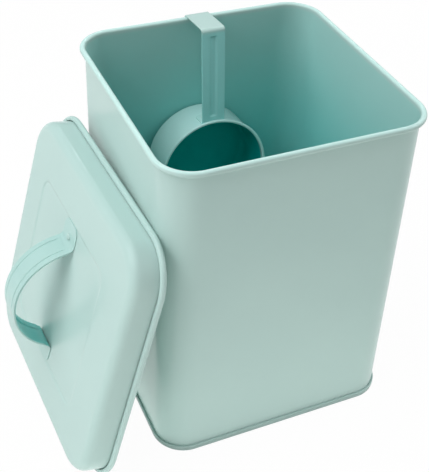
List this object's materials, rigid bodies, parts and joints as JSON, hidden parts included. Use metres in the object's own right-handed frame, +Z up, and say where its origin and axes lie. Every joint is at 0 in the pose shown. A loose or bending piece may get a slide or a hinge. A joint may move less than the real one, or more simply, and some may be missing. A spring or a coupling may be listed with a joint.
{
  "type": "laundry powder bin",
  "caption": "Square sheet-metal laundry powder bin with a rolled rim, its loop-handled lid leaning against one side and a round scoop hooked over the back rim.",
  "frame": {"origin": "centre of the bin's base ring, on the floor it stands on", "axes": "+Z up, +X to the bin's right seen from its front, +Y to the back rim that the scoop hangs on; the lid leans on the -X side"},
  "size_m": [0.2749, 0.206, 0.2587],
  "materials": {
    "bin_paint": "pale green satin powder coat on sheet steel",
    "lid_paint": "pale green satin powder coat on sheet steel",
    "handle_paint": "pale green satin powder coat on strip steel",
    "scoop_paint": "pale green satin powder coat on sheet steel",
    "rivet_paint": "pale green satin paint over steel"
  },
  "bodies": {
    "root": {"bin_wall": "bin_paint", "base_pan": "bin_paint", "lid_pan": "lid_paint", "lid_handle": "handle_paint", "lid_rivet_upper": "rivet_paint", "lid_rivet_lower": "rivet_paint", "scoop_cup": "scoop_paint", "scoop_handle": "scoop_paint", "scoop_rivet_left": "rivet_paint", "scoop_rivet_right": "rivet_paint"}
  },
  "joints": []
}
